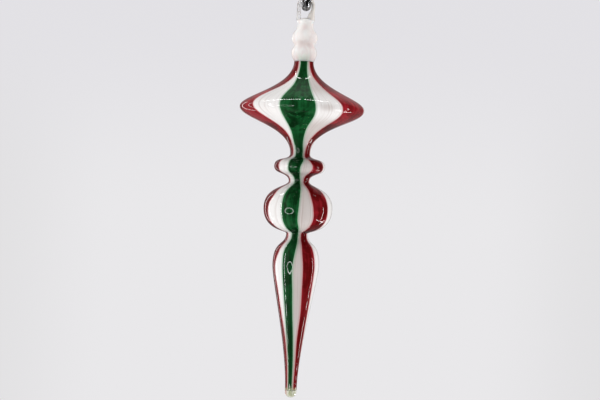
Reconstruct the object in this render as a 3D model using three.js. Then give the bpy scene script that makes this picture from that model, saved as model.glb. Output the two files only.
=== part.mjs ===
// A hand-blown glass finial ornament, hanging by its glass eye from a round steel S-hook.
// Millimetres, +Z up. The origin is the point inside the hook's upper bend where the whole thing hangs,
// and the ornament's own axis runs down the Z axis from there. The front faces -Y.

import * as THREE from "three";
import { mergeVertices } from "three/addons/utils/BufferGeometryUtils.js";

const DEGREE = Math.PI / 180;

// Clearance left between glass pieces that are fused or lie on each other
const seatGap = 0.3;

// Steel hook: one round rod bent into an S in the YZ plane
const rodDiameter = 6;
const hookReach = 40;
const upperBendRadius = 9;
const upperTipLength = 5;
const lowerBendRadius = 6;
const lowerTipLength = 3;

// Glass eye: a bent glass rod round the hook's rod, its two feet standing on the stem
const eyeRodDiameter = 2.1;
const eyePlay = 0.35;
const eyeLegLength = 8.2;

// Opal stem: a collar, two beads with a waist between them, and a plug in the neck of the body
const collarRadius = 5.5;
const collarWaistRadius = 4.8;
const collarLength = 2.8;
const upperBeadRadius = 7.8;
const upperBeadShoulder = 8.1;
const stemWaistRadius = 6.4;
const upperBeadFall = 4.2;
const lowerBeadRadius = 7.7;
const lowerBeadRise = 4.5;
const stemFootRadius = 6;
const lowerBeadFall = 4.8;
const plugLength = 5;

// Blown body: the radius at each neck and bulge, from the top down
const neckRadius = 5.8;
const discRadius = 37.6;
const discNeckRadius = 6;
const saucerRadius = 15.3;
const saucerNeckRadius = 6.2;
const ballRadius = 20.7;
const ballNeckRadius = 6.5;
const bulbRadius = 14;
const dropEndRadius = 3.5;

// Blown body: the height of each stretch between a neck and a bulge
const flareHeight = 28.5;
const underDiscHeight = 27.1;
const saucerTopHeight = 7.7;
const saucerUnderHeight = 8.8;
const ballTopHeight = 16.1;
const ballUnderHeight = 15.1;
const bulbTopHeight = 18.9;
const dropHeight = 74.9;
const tipHeight = 4.3;

// Glass thickness: the stripes lie on a hollow bubble, which runs solid into the tip
const stripeWall = 0.8;
const bubbleWall = 0.8;
const solidEndHeight = 11;

// Stripes: like sets round the body, each of green, white, red and white, in degrees
const stripeSets = 3;
const greenWidth = 33;
const redWidth = 38;
const bodyTwist = -21.5;
const dropUntwist = 12.5;
const untwistStart = 0.3;

// How finely the round shapes are stepped
const discSteps = 7;
const saucerSteps = 4;
const ballSteps = 5;
const bulbSteps = 4;
const dropSteps = 6;
const beadSteps = 3;
const outlineFineness = 30;
const turnSteps = 24;
const stripeSteps = 3;
const bendSteps = 6;
const rodSides = 12;

const colours = {
  steel: { color: 0x4a4a4e, roughness: 0.22, metalness: 1 },
  clearGlass: { color: 0xe6eae8, roughness: 0.05, metalness: 0 },
  opalGlass: { color: 0xf2eeea, roughness: 0.12, metalness: 0 },
  innerGlass: { color: 0xe9eeee, roughness: 0.05, metalness: 0 },
  greenGlass: { color: 0x14512c, roughness: 0.06, metalness: 0 },
  redGlass: { color: 0x8c1016, roughness: 0.06, metalness: 0 },
  whiteGlass: { color: 0xeeeae8, roughness: 0.06, metalness: 0 },
  tipGlass: { color: 0xdfe9dd, roughness: 0.06, metalness: 0 },
};

// Heights, worked out downwards from the hanging point at the origin
const rodRadius = rodDiameter / 2;
const upperBendHeight = rodRadius - upperBendRadius;
const pivotHeight = -hookReach;
const lowerBendHeight = pivotHeight + lowerBendRadius;
const eyeFoot = pivotHeight - eyeLegLength;
const stemTop = eyeFoot - seatGap;
const collarWaist = stemTop - collarLength;
const upperBead = collarWaist - upperBeadShoulder;
const stemWaist = upperBead - upperBeadFall;
const lowerBead = stemWaist - lowerBeadRise;
const stemFoot = lowerBead - lowerBeadFall;
const neckTop = stemFoot - seatGap;
const disc = neckTop - flareHeight;
const discNeck = disc - underDiscHeight;
const saucer = discNeck - saucerTopHeight;
const saucerNeck = saucer - saucerUnderHeight;
const ball = saucerNeck - ballTopHeight;
const ballNeck = ball - ballUnderHeight;
const bulb = ballNeck - bulbTopHeight;
const dropEnd = bulb - dropHeight;

// Depths of the layers below the body's outer surface
const bubbleDepth = stripeWall + seatGap;
const hollowDepth = bubbleDepth + bubbleWall;

const ornament = new THREE.Group();

function addPiece(name, geometry, look) {
  const piece = new THREE.Mesh(geometry, new THREE.MeshStandardMaterial(look));
  piece.name = name;
  ornament.add(piece);
}

// A point of an outline: how far from the axis, and how high
function at(radius, height) {
  return new THREE.Vector2(radius, height);
}

// A stretch of outline between a neck and a bulge, upright at both ends. Each ease is how long
// the outline stays near upright there, as a share of the stretch's height.
function stretch(top, bottom, topEase, bottomEase, steps) {
  const height = top.y - bottom.y;
  const topHandle = at(top.x, top.y - topEase * height);
  const bottomHandle = at(bottom.x, bottom.y + bottomEase * height);
  return { curve: new THREE.CubicBezierCurve(top, topHandle, bottomHandle, bottom), steps };
}

// Points down a run of stretches, each cut into its own number of steps times a fineness
function pointsAlong(stretches, fineness) {
  return stretches.flatMap(({ curve, steps }, i) => {
    return curve.getPoints(steps * fineness).slice(i === 0 ? 0 : 1);
  });
}

// Radius at a height of the outline drawn in by a depth, so that walls keep their thickness on a
// slope: the furthest out that a ball of that depth can have its centre and stay inside
function drawnIn(outline, height, depth) {
  let radius = Infinity;
  for (const point of outline) {
    const rise = point.y - height;
    if (Math.abs(rise) <= depth) {
      radius = Math.min(radius, point.x - Math.sqrt(depth * depth - rise * rise));
    }
  }
  return radius;
}

// A closed body from a list of triangle corners that goes round each face anticlockwise
function bodyFrom(corners) {
  const numbers = corners.flatMap((corner) => [corner.x, corner.y, corner.z]);
  const loose = new THREE.BufferGeometry();
  loose.setAttribute("position", new THREE.Float32BufferAttribute(numbers, 3));
  const geometry = mergeVertices(loose, 1e-4);
  geometry.computeVertexNormals();
  return geometry;
}

// A turned body from a profile that starts and ends on the axis and goes up the outside
function turned(profile, steps) {
  const geometry = new THREE.LatheGeometry(profile, steps);
  geometry.rotateX(Math.PI / 2);
  return geometry;
}

// A curved plate between an outer and an inner grid of points with the same rows and columns,
// rows from the top down and columns anticlockwise seen from above
function plate(outer, inner) {
  const corners = [];
  const quad = (a, b, c, d) => corners.push(a, b, c, a, c, d);
  const last = outer.length - 1;
  const edge = outer[0].length - 1;
  for (let row = 0; row < last; row += 1) {
    const [o, below, i, under] = [outer[row], outer[row + 1], inner[row], inner[row + 1]];
    for (let c = 0; c < edge; c += 1) {
      quad(o[c], below[c], below[c + 1], o[c + 1]);
      quad(i[c + 1], under[c + 1], under[c], i[c]);
    }
    quad(i[0], under[0], below[0], o[0]);
    quad(o[edge], below[edge], under[edge], i[edge]);
  }
  for (let c = 0; c < edge; c += 1) {
    quad(inner[0][c], outer[0][c], outer[0][c + 1], inner[0][c + 1]);
    quad(outer[last][c], inner[last][c], inner[last][c + 1], outer[last][c + 1]);
  }
  return bodyFrom(corners);
}

// A round rod bent along a flat path, drawn as points across and up in the plane of two directions.
// Its ends are flat, or domed with one smaller ring before the pole.
function bentRod(points, acrossDirection, diameter, domed) {
  const up = new THREE.Vector3(0, 0, 1);
  const side = new THREE.Vector3().crossVectors(up, acrossDirection);
  const inSpace = (p) => acrossDirection.clone().multiplyScalar(p.x).addScaledVector(up, p.y);
  const radius = diameter / 2;
  const lastPoint = points.length - 1;
  const legs = points.slice(1).map((p, i) => p.clone().sub(points[i]).normalize());
  const headings = points.map((_, i) => {
    const [before, after] = [legs[Math.max(i - 1, 0)], legs[Math.min(i, lastPoint - 1)]];
    return before.clone().add(after).normalize();
  });
  const ringAt = (point, heading, size) => {
    const out = inSpace(new THREE.Vector2(heading.y, -heading.x));
    const centre = inSpace(point);
    return Array.from({ length: rodSides }, (_, i) => {
      const angle = (2 * Math.PI * i) / rodSides;
      const spoke = out.clone().multiplyScalar(Math.cos(angle) * size);
      return spoke.addScaledVector(side, Math.sin(angle) * size).add(centre);
    });
  };
  const beyond = (i, distance) => points[i].clone().addScaledVector(headings[i], distance);
  const rings = points.map((point, i) => ringAt(point, headings[i], radius));
  const poles = [inSpace(points[0]), inSpace(points[lastPoint])];
  if (domed) {
    const lean = radius * Math.SQRT1_2;
    rings.unshift(ringAt(beyond(0, -lean), headings[0], lean));
    rings.push(ringAt(beyond(lastPoint, lean), headings[lastPoint], lean));
    poles[0] = inSpace(beyond(0, -radius));
    poles[1] = inSpace(beyond(lastPoint, radius));
  }
  return skinned(rings, poles);
}

// Rings joined one to the next, and closed by a fan to a pole at each end
function skinned(rings, [firstPole, lastPole]) {
  const corners = [];
  const sides = rings[0].length;
  const firstRing = rings[0];
  const lastRing = rings[rings.length - 1];
  for (let i = 0; i < sides; i += 1) {
    const j = (i + 1) % sides;
    corners.push(firstPole, firstRing[j], firstRing[i]);
    for (let k = 1; k < rings.length; k += 1) {
      const [here, next] = [rings[k - 1], rings[k]];
      corners.push(here[i], here[j], next[j], here[i], next[j], next[i]);
    }
    corners.push(lastRing[i], lastRing[j], lastPole);
  }
  return bodyFrom(corners);
}

// The steel S-hook: up from its lower tip, round under the glass eye, and over the top
function addHook() {
  const path = new THREE.Path();
  path.moveTo(lowerBendRadius, lowerBendHeight + lowerTipLength);
  path.lineTo(lowerBendRadius, lowerBendHeight);
  path.absarc(0, lowerBendHeight, lowerBendRadius, 0, -Math.PI, true);
  const shank = upperBendHeight - lowerBendHeight;
  path.bezierCurveTo(
    -lowerBendRadius,
    lowerBendHeight + shank / 2,
    upperBendRadius,
    upperBendHeight - shank / 2,
    upperBendRadius,
    upperBendHeight,
  );
  path.absarc(0, upperBendHeight, upperBendRadius, 0, Math.PI, false);
  path.lineTo(-upperBendRadius, upperBendHeight - upperTipLength);
  const across = new THREE.Vector3(0, 1, 0);
  addPiece("steel_hook", bentRod(path.getPoints(bendSteps), across, rodDiameter, true), colours.steel);
}

// The glass eye: up one leg, round a half circle about the hook's rod, and down the other leg
function addEye() {
  const bendRadius = rodRadius + eyePlay + eyeRodDiameter / 2;
  const path = new THREE.Path();
  path.moveTo(-bendRadius, eyeFoot);
  path.lineTo(-bendRadius, pivotHeight);
  path.absarc(0, pivotHeight, bendRadius, Math.PI, 0, true);
  path.lineTo(bendRadius, eyeFoot);
  const across = new THREE.Vector3(1, 0, 0);
  const eye = bentRod(path.getPoints(bendSteps), across, eyeRodDiameter, false);
  addPiece("glass_eye", eye, colours.clearGlass);
}

// The opal stem, with its plug hanging in the bubble's neck
function addStem() {
  const [upper, lower] = [at(upperBeadRadius, upperBead), at(lowerBeadRadius, lowerBead)];
  const collar = at(collarWaistRadius, collarWaist);
  const waist = at(stemWaistRadius, stemWaist);
  const stretches = [
    stretch(at(collarRadius, stemTop), collar, 0.4, 0.5, beadSteps),
    stretch(collar, upper, 0.45, 0.45, beadSteps),
    stretch(upper, waist, 0.6, 0.35, beadSteps),
    stretch(waist, lower, 0.35, 0.6, beadSteps),
    stretch(lower, at(stemFootRadius, stemFoot), 0.6, 0.2, beadSteps),
  ];
  const outside = pointsAlong(stretches, 1).reverse();
  const plugRadius = neckRadius - hollowDepth - seatGap;
  const plugEnd = stemFoot - plugLength;
  const plug = [at(0, plugEnd), at(plugRadius, plugEnd), at(plugRadius, stemFoot)];
  const profile = [...plug, ...outside, at(0, stemTop)];
  addPiece("opal_stem", turned(profile, turnSteps), colours.opalGlass);
}

// Outline of the blown body, from the neck down to where the stripes end
const bodyStretches = [
  stretch(at(neckRadius, neckTop), at(discRadius, disc), 0.57, 0.25, discSteps),
  stretch(at(discRadius, disc), at(discNeckRadius, discNeck), 0.31, 0.63, discSteps),
  stretch(at(discNeckRadius, discNeck), at(saucerRadius, saucer), 0.57, 0.82, saucerSteps),
  stretch(at(saucerRadius, saucer), at(saucerNeckRadius, saucerNeck), 0.62, 0.62, saucerSteps),
  stretch(at(saucerNeckRadius, saucerNeck), at(ballRadius, ball), 0.21, 0.79, ballSteps),
  stretch(at(ballRadius, ball), at(ballNeckRadius, ballNeck), 0.93, 0.1, ballSteps),
  stretch(at(ballNeckRadius, ballNeck), at(bulbRadius, bulb), 0.41, 0.8, bulbSteps),
  stretch(at(bulbRadius, bulb), at(dropEndRadius, dropEnd), 0.13, 0.35, dropSteps),
];
const stations = pointsAlong(bodyStretches, 1);
const fineOutline = pointsAlong(bodyStretches, outlineFineness);

// How far the stripes have turned at a height: evenly down to the bulb, then partly back
function twistAt(height) {
  const down = THREE.MathUtils.clamp((neckTop - height) / (neckTop - bulb), 0, 1);
  const alongDrop = (bulb - height) / dropHeight;
  return bodyTwist * down + dropUntwist * THREE.MathUtils.smoothstep(alongDrop, untwistStart, 1);
}

// One lengthwise stripe, each edge kept half a seat gap inside its angle
function stripeGeometry(startAngle, endAngle) {
  const layer = (radiusOf) => {
    return stations.map((station) => {
      const radius = radiusOf(station);
      const edge = seatGap / 2 / radius;
      const start = (startAngle + twistAt(station.y)) * DEGREE + edge;
      const end = (endAngle + twistAt(station.y)) * DEGREE - edge;
      return Array.from({ length: stripeSteps + 1 }, (_, i) => {
        const angle = THREE.MathUtils.lerp(start, end, i / stripeSteps);
        return new THREE.Vector3(radius * Math.sin(angle), -radius * Math.cos(angle), station.y);
      });
    });
  };
  const outer = layer((station) => station.x);
  const inner = layer((station) => drawnIn(fineOutline, station.y, stripeWall));
  return plate(outer, inner);
}

function addStripes() {
  const setWidth = 360 / stripeSets;
  const whiteWidth = (setWidth - greenWidth - redWidth) / 2;
  for (let set = 0; set < stripeSets; set += 1) {
    let start = set * setWidth - greenWidth / 2;
    const addStripe = (name, width, look) => {
      addPiece(name, stripeGeometry(start, start + width), look);
      start += width;
    };
    addStripe(`green_stripe_${set + 1}`, greenWidth, colours.greenGlass);
    addStripe(`white_stripe_${2 * set + 1}`, whiteWidth, colours.whiteGlass);
    addStripe(`red_stripe_${set + 1}`, redWidth, colours.redGlass);
    addStripe(`white_stripe_${2 * set + 2}`, whiteWidth, colours.whiteGlass);
  }
}

// The bubble under the stripes, hollow from its open neck to the solid end of the drop
function addBubble() {
  const wall = (depth) => (point) => at(drawnIn(fineOutline, point.y, depth), point.y);
  const hollowEnd = dropEnd + solidEndHeight;
  const outside = stations.map(wall(bubbleDepth)).reverse();
  const roomy = stations.filter((point) => point.y > hollowEnd + hollowDepth);
  const inside = roomy.map(wall(hollowDepth));
  const profile = [at(0, dropEnd), ...outside, ...inside, at(0, hollowEnd)];
  addPiece("inner_bubble", turned(profile, turnSteps), colours.innerGlass);
}

// The pale tip that closes the end of the drop
function addTip() {
  const top = dropEnd - seatGap;
  const side = new THREE.CubicBezierCurve(
    at(0, top - tipHeight),
    at(dropEndRadius * 0.7, top - tipHeight),
    at(dropEndRadius, top - tipHeight * 0.6),
    at(dropEndRadius, top),
  );
  addPiece("glass_tip", turned([...side.getPoints(6), at(0, top)], turnSteps / 2), colours.tipGlass);
}

addHook();
addEye();
addStem();
addBubble();
addStripes();
addTip();

export default ornament;
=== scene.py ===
import math

import bmesh
import bpy
import numpy as np
from bpy.props import FloatProperty, FloatVectorProperty, PointerProperty
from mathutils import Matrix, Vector


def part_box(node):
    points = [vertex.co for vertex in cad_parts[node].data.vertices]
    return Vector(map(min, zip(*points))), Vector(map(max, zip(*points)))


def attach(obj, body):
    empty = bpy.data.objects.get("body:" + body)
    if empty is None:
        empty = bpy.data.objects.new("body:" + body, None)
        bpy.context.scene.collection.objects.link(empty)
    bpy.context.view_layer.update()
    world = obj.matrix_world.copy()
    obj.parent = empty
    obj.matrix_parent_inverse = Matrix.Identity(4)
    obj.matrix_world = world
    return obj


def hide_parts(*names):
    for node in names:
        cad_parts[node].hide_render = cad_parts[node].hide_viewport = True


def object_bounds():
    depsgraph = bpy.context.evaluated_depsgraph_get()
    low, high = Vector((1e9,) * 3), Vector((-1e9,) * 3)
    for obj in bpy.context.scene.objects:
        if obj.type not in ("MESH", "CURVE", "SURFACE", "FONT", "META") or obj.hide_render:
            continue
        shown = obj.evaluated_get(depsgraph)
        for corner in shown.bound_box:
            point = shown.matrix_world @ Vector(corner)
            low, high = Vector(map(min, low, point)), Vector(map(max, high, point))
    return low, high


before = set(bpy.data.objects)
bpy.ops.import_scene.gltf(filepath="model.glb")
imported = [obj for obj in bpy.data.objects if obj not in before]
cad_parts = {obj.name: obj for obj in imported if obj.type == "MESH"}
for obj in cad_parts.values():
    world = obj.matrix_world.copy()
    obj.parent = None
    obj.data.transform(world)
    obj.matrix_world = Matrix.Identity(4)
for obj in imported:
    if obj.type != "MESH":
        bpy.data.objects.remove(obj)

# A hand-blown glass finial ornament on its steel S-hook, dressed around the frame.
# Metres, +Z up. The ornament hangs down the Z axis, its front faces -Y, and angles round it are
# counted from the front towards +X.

bl_info = {
    "name": "Glass Finial Ornament",
    "version": (1, 0, 0),
    "blender": (4, 5, 0),
    "location": "View3D > Sidebar > Finial",
    "description": "Builds a blown glass finial on its hook, and a plain studio",
    "category": "Add Mesh",
}

MM = 0.001
CAD_BOX = [list(corner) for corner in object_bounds()]
UV_NAME = "skin"
UV_PER_METRE = 10
SHARP_ANGLE = math.radians(38)
COLOURED_SETS = 3


def low(node, axis):
    """Lowest place of a frame node along an axis."""
    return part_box(node)[0][axis]


def high(node, axis):
    """Highest place of a frame node along an axis."""
    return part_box(node)[1][axis]


def length(name, millimetres, description, least=0.0):
    """A size in the panel, given in millimetres and kept in metres."""
    return FloatProperty(
        name=name, description=description, default=millimetres * MM, min=least, unit="LENGTH",
        precision=4,
    )


def shade(name, colour, description):
    """A colour in the panel."""
    return FloatVectorProperty(
        name=name, description=description, default=colour, size=3, min=0.0, max=1.0,
        subtype="COLOR",
    )


NECK_TOP = high("green_stripe_1", 2)
DROP_END = low("green_stripe_1", 2)
STEM_TOP = high("opal_stem", 2)
STEM_PLUG_END = low("opal_stem", 2)
HOOK_ROD = high("steel_hook", 0) - low("steel_hook", 0)
HOOK_BEND = high("steel_hook", 1) - high("steel_hook", 0)


class FinialHookSizes(bpy.types.PropertyGroup):
    rod_diameter: length("Rod", HOOK_ROD / MM, "Thickness of the steel rod")
    upper_bend_radius: length("Upper Bend", HOOK_BEND / MM, "Radius to the rod's middle")
    lower_bend_radius: length("Lower Bend", 6, "Radius to the rod's middle")
    upper_tip_length: length("Upper Tip", 5, "Straight length past the upper bend")
    lower_tip_length: length("Lower Tip", 3, "Straight length past the lower bend")


class FinialEyeSizes(bpy.types.PropertyGroup):
    rod_diameter: length("Rod", 2.1, "Thickness of the glass rod over the hook")
    clear_swell: length("Clear Swell", 0.3, "Gain in the clear leg's radius at its foot")
    milky_swell: length("Milky Swell", 1.15, "Gain in the milky leg's radius at its foot")


class FinialStemSizes(bpy.types.PropertyGroup):
    collar_radius: length("Collar", 5.5, "Radius of the collar under the eye")
    collar_waist_radius: length("Collar Waist", 4.8, "Radius under the collar")
    collar_length: length("Collar Length", 2.8, "From the collar's top to its waist")
    upper_bead_radius: length("Upper Bead", high("opal_stem", 0) / MM, "Radius of the upper bead")
    upper_bead_shoulder: length("Shoulder", 8.1, "From the waist to the upper bead")
    waist_radius: length("Waist", 6.4, "Radius between the two beads")
    upper_bead_fall: length("Upper Fall", 4.2, "From the upper bead to the waist")
    lower_bead_radius: length("Lower Bead", 7.7, "Radius of the lower bead")
    lower_bead_rise: length("Lower Rise", 4.5, "From the waist to the lower bead")
    lower_bead_fall: length("Lower Fall", 5.4, "From the lower bead to the foot")
    foot_radius: length("Foot", 6.1, "Radius where the stem meets the body")
    plug_radius: length("Plug", 3.6, "Radius of the plug in the body's neck")


class FinialBodySizes(bpy.types.PropertyGroup):
    neck_radius: length("Neck", 5.8, "Radius at the top of the body")
    disc_radius: length("Disc", CAD_BOX[1][0] / MM - 0.05, "Radius of the wide disc")
    disc_neck_radius: length("Disc Neck", 6, "Radius under the disc")
    saucer_radius: length("Saucer", 15.3, "Radius of the small saucer")
    saucer_neck_radius: length("Saucer Neck", 6.2, "Radius under the saucer")
    ball_radius: length("Ball", 20.7, "Radius of the ball")
    ball_neck_radius: length("Ball Neck", 6.5, "Radius under the ball")
    bulb_radius: length("Bulb", 14, "Radius of the bulb at the drop's top")
    drop_end_radius: length("Drop End", 3.5, "Radius where the stripes end")
    flare_height: length("Flare Height", 28.5, "From the neck to the disc")
    under_disc_height: length("Under Disc", 27.1, "From the disc to its neck")
    saucer_top_height: length("Saucer Top", 7.7, "From the disc's neck to the saucer")
    saucer_under_height: length("Saucer Under", 8.8, "From the saucer to its neck")
    ball_top_height: length("Ball Top", 16.1, "From the saucer's neck to the ball")
    ball_under_height: length("Ball Under", 15.1, "From the ball to its neck")
    bulb_top_height: length("Bulb Top", 18.9, "From the ball's neck to the bulb")
    stripe_wall: length("Stripe Wall", 0.8, "Thickness of the coloured glass")
    bubble_wall: length("Bubble Wall", 0.8, "Thickness of the bubble under it")
    layer_gap: length("Layer Gap", 0.3, "Gap between the two layers")
    stripe_joint: length("Stripe Joint", 0.03, "Gap between neighbouring stripes")
    solid_end: length("Solid End", 11, "Solid length at the end of the drop")


class FinialColours(bpy.types.PropertyGroup):
    steel: shade("Steel", (0.30, 0.30, 0.31), "Dark polished steel")
    clear: shade("Clear Glass", (0.93, 0.94, 0.93), "Clear glass of the eye")
    opal: shade("Opal Glass", (0.81, 0.80, 0.785), "Milky glass of the stem")
    green: shade("Green Glass", (0.0032, 0.0325, 0.0072), "Dark green stripes")
    green_thin: shade("Thin Green", (0.016, 0.165, 0.046), "Green where it runs thin")
    red: shade("Red Glass", (0.115, 0.0025, 0.0030), "Deep red stripes")
    red_thin: shade("Thin Red", (0.42, 0.020, 0.032), "Red where it runs thin")
    white: shade("White Glass", (0.88, 0.87, 0.86), "White stripes")
    # Pinkish grey of the streaks in the white, also used for its painted shade on narrow parts and
    # in one patch on the disc.
    white_streak_and_shade: shade("Thin White", (0.53, 0.455, 0.425), "Streaks in the white")
    tip: shade("Tip Glass", (0.46, 0.50, 0.30), "Pale green-white tip")
    backdrop: shade("Backdrop", (0.765, 0.755, 0.785), "Pale studio background")


class FinialStage(bpy.types.PropertyGroup):
    view_width: length("View Width", 360, "Width that the picture shows")
    camera_distance: length("Camera Distance", 900, "From the camera to the ornament")
    camera_height: length("Camera Height", -156.4, "Height that the camera looks at", -1.0)
    camera_side: length("Camera Side", 1, "How far right the camera looks", -1.0)
    camera_roll: FloatProperty(
        name="Camera Roll", description="Lean of the ornament to the right",
        default=math.radians(2.3), unit="ROTATION",
    )
    floor_drop: length("Floor Drop", 150, "From the ornament's tip to the floor")
    floor_radius: length("Floor Radius", 1100, "Radius of the floor")


class Wire:
    """An output socket of a material's node. Arithmetic on it adds Math nodes."""

    def __init__(self, glaze, socket):
        self.glaze = glaze
        self.socket = socket

    def __add__(self, other):
        return self.glaze.math("ADD", self, other)

    def __sub__(self, other):
        return self.glaze.math("SUBTRACT", self, other)

    def __rsub__(self, other):
        return self.glaze.math("SUBTRACT", other, self)

    def __mul__(self, other):
        return self.glaze.math("MULTIPLY", self, other)

    def __abs__(self):
        return self.glaze.math("ABSOLUTE", self)

    __radd__ = __add__
    __rmul__ = __mul__


class Glaze:
    """A node tree being filled: a material's, or the world's."""

    def __init__(self, tree):
        self.tree = tree
        tree.nodes.clear()

    def node(self, kind, inputs=None, output=0, **settings):
        """Adds a shader node, feeds its sockets, and gives back an output."""
        made = self.tree.nodes.new("ShaderNode" + kind)
        for name, value in settings.items():
            setattr(made, name, value)
        for name, value in (inputs or {}).items():
            spot = made.inputs[name]
            if isinstance(value, Wire):
                self.tree.links.new(value.socket, spot)
            else:
                is_colour = spot.type == "RGBA" and len(value) == 3
                spot.default_value = (*value, 1.0) if is_colour else value
        return Wire(self, made.outputs[output])

    def math(self, operation, *values):
        """A Math node on one or two values."""
        return self.node("Math", dict(enumerate(values)), operation=operation)

    def mix(self, share, first, second):
        """A colour between two, by a share of the second."""
        return self.node("Mix", {0: share, 6: first, 7: second}, 2, data_type="RGBA")

    def step(self, value, start, end):
        """A smooth rise from 0 at one value to 1 at another."""
        inputs = {"Value": value, "From Min": start, "From Max": end}
        return self.node("MapRange", inputs, interpolation_type="SMOOTHSTEP")

    def place(self):
        """The point of the piece, in the frame."""
        return self.node("TexCoord", output="Object")

    def skin(self):
        """The piece's own map: its share across, and decimetres along it."""
        return self.node("UVMap", uv_map=UV_NAME)

    def mark(self, name):
        """A value kept on the piece's points."""
        return self.node("Attribute", output="Fac", attribute_name=name)

    def part(self, axis, vector=None):
        """One of the three numbers of a vector, or of the point."""
        return self.node("SeparateXYZ", {0: vector or self.place()}, axis)

    def stretched(self, scale, shift, vector=None):
        """A vector, or the point, times a scale along each axis, plus a shift."""
        inputs = {"Vector": vector or self.place(), "Scale": scale, "Location": shift}
        return self.node("Mapping", inputs)

    def noise(self, scale, detail, rough=0.5, distortion=0.0, shift=(0, 0, 0), vector=None):
        """Noise over a vector, or the point, with so many swells to a unit along each axis."""
        inputs = {"Vector": self.stretched(scale, shift, vector), "Scale": 1.0,
                  "Detail": detail, "Roughness": rough, "Distortion": distortion}
        return self.node("TexNoise", inputs)

    def distance(self, scale=(1, 1, 0), shift=(0, 0, 0)):
        """How far the stretched and shifted point lies from the origin, or, with neither given,
        from the ornament's axis."""
        vector = self.stretched(scale, shift)
        return self.node("VectorMath", {0: vector}, "Value", operation="LENGTH")

    def bump(self, height, depth):
        """A normal bent by a height between 0 and 1, as deep as a depth in metres."""
        return self.node("Bump", {"Height": height, "Distance": depth})

    def surface(self, **inputs):
        """The surface shader, with its sockets' names written with underscores."""
        sockets = {name.replace("_", " "): value for name, value in inputs.items()}
        return self.node("BsdfPrincipled", sockets)

    def finish(self, shader, output="Material"):
        end = self.tree.nodes.new("ShaderNodeOutput" + output)
        self.tree.links.new(shader.socket, end.inputs["Surface"])


GLASS_IOR = 1.5
BLOWN_ROUGHNESS = 0.03
RIPPLE_DEPTH = 0.05 * MM
RUN_OUT_START, RUN_OUT_END = DROP_END + 4 * MM, DROP_END + 1 * MM
COLOURED_EDGE = 1.1 * MM
WHITE_EDGE = 1.5 * MM
BLOWN_THIN_RED = 0.45
# How far each white stripe greys on its narrow parts, which is painted shade, most on the first
# one, which faces the front right; and how far the first one greys in its patch of painted shade
# on the disc.
WHITE_NARROW_SHADE = [0.60, 0.0, 0.2, 0.0, 0.3, 0.0]
WHITE_SHADE_PATCH = 0.35
# Place and size of the patch of painted shade on the front right of the disc's white.
SHADE_PATCH_SCALE, SHADE_PATCH_SHIFT = (170, 0, 330), (-2.6, 0, 33.8)
# How far red, green and blue light soak into milky glass, as shares of the soak's length.
MILK_SOAK = (1.0, 0.9, 0.85)
WHITE_TINTS = (("from_green", (0.24, 0.46, 0.30), 0.7), ("from_red", (0.56, 0.20, 0.21), 0.65))
OPAL_WISP, OPAL_BY_RED, OPAL_BY_GREEN = (0.74, 0.68, 0.67), (0.84, 0.60, 0.60), (0.58, 0.80, 0.62)
EYE_MILK, BUBBLE_HAZE = (0.84, 0.80, 0.76), (0.74, 0.76, 0.74)
TIP_WHITE, TIP_RED = (0.74, 0.74, 0.64), (0.42, 0.10, 0.10)
# Worn steel, and the pale colour of the painted highlight lines along the hook's rod.
WORN_STEEL, PAINTED_HIGHLIGHT_STEEL = (0.50, 0.50, 0.51), (0.86, 0.86, 0.88)


def new_material(name, recipe, *values):
    """A material whose surface a recipe works out in its node tree."""
    material = bpy.data.materials.new(name)
    material.use_nodes = True
    glaze = Glaze(material.node_tree)
    glaze.finish(recipe(glaze, *values))
    return material


def blown_glass(glaze, colour, tip_colour, seed):
    """Glossy blown glass with faint ripples, whose colour pales into the tip's at the end."""
    height = glaze.part(2) + 3 * MM * glaze.noise((900, 900, 300), 1)
    pale = 1 - glaze.step(height, RUN_OUT_END, RUN_OUT_START)
    ripple = glaze.noise((70, 70, 38), 1, shift=(seed, 0, 0))
    return glaze.surface(
        Base_Color=glaze.mix(pale * 0.8, colour, tip_colour), Roughness=BLOWN_ROUGHNESS,
        IOR=GLASS_IOR, Normal=glaze.bump(ripple, RIPPLE_DEPTH),
    )


def coloured_glass(glaze, colours, thick, thin, seed, blown_thin=0.0):
    """Coloured cane: dark where it lies thick, with lengthwise strands and cloudy patches, and
    brighter in a narrow band at each edge and where the bubble is blown wide."""
    strands = glaze.noise((7, 1.3, 1), 3, 0.5, 0.8, (seed, 0, seed), glaze.skin())
    clouds = glaze.noise((95, 95, 60), 4, 0.6, 1.4, (0, seed, 0))
    reach = glaze.distance()
    thinness = glaze.step(strands * 0.35 + clouds * 0.65, 0.42, 0.64)
    thinness = thinness * (glaze.step(reach, 6 * MM, 17 * MM) * 0.38 + 0.17)
    wide = glaze.step(reach, 21 * MM, 27 * MM) - glaze.step(reach, 28 * MM, 35 * MM) * 0.45
    edge = 1 - glaze.step(glaze.mark("from_edge"), 0.0, COLOURED_EDGE)
    share = thinness + wide * blown_thin + edge * 0.4
    return blown_glass(glaze, glaze.mix(share, thick, thin), colours.tip, seed)


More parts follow.
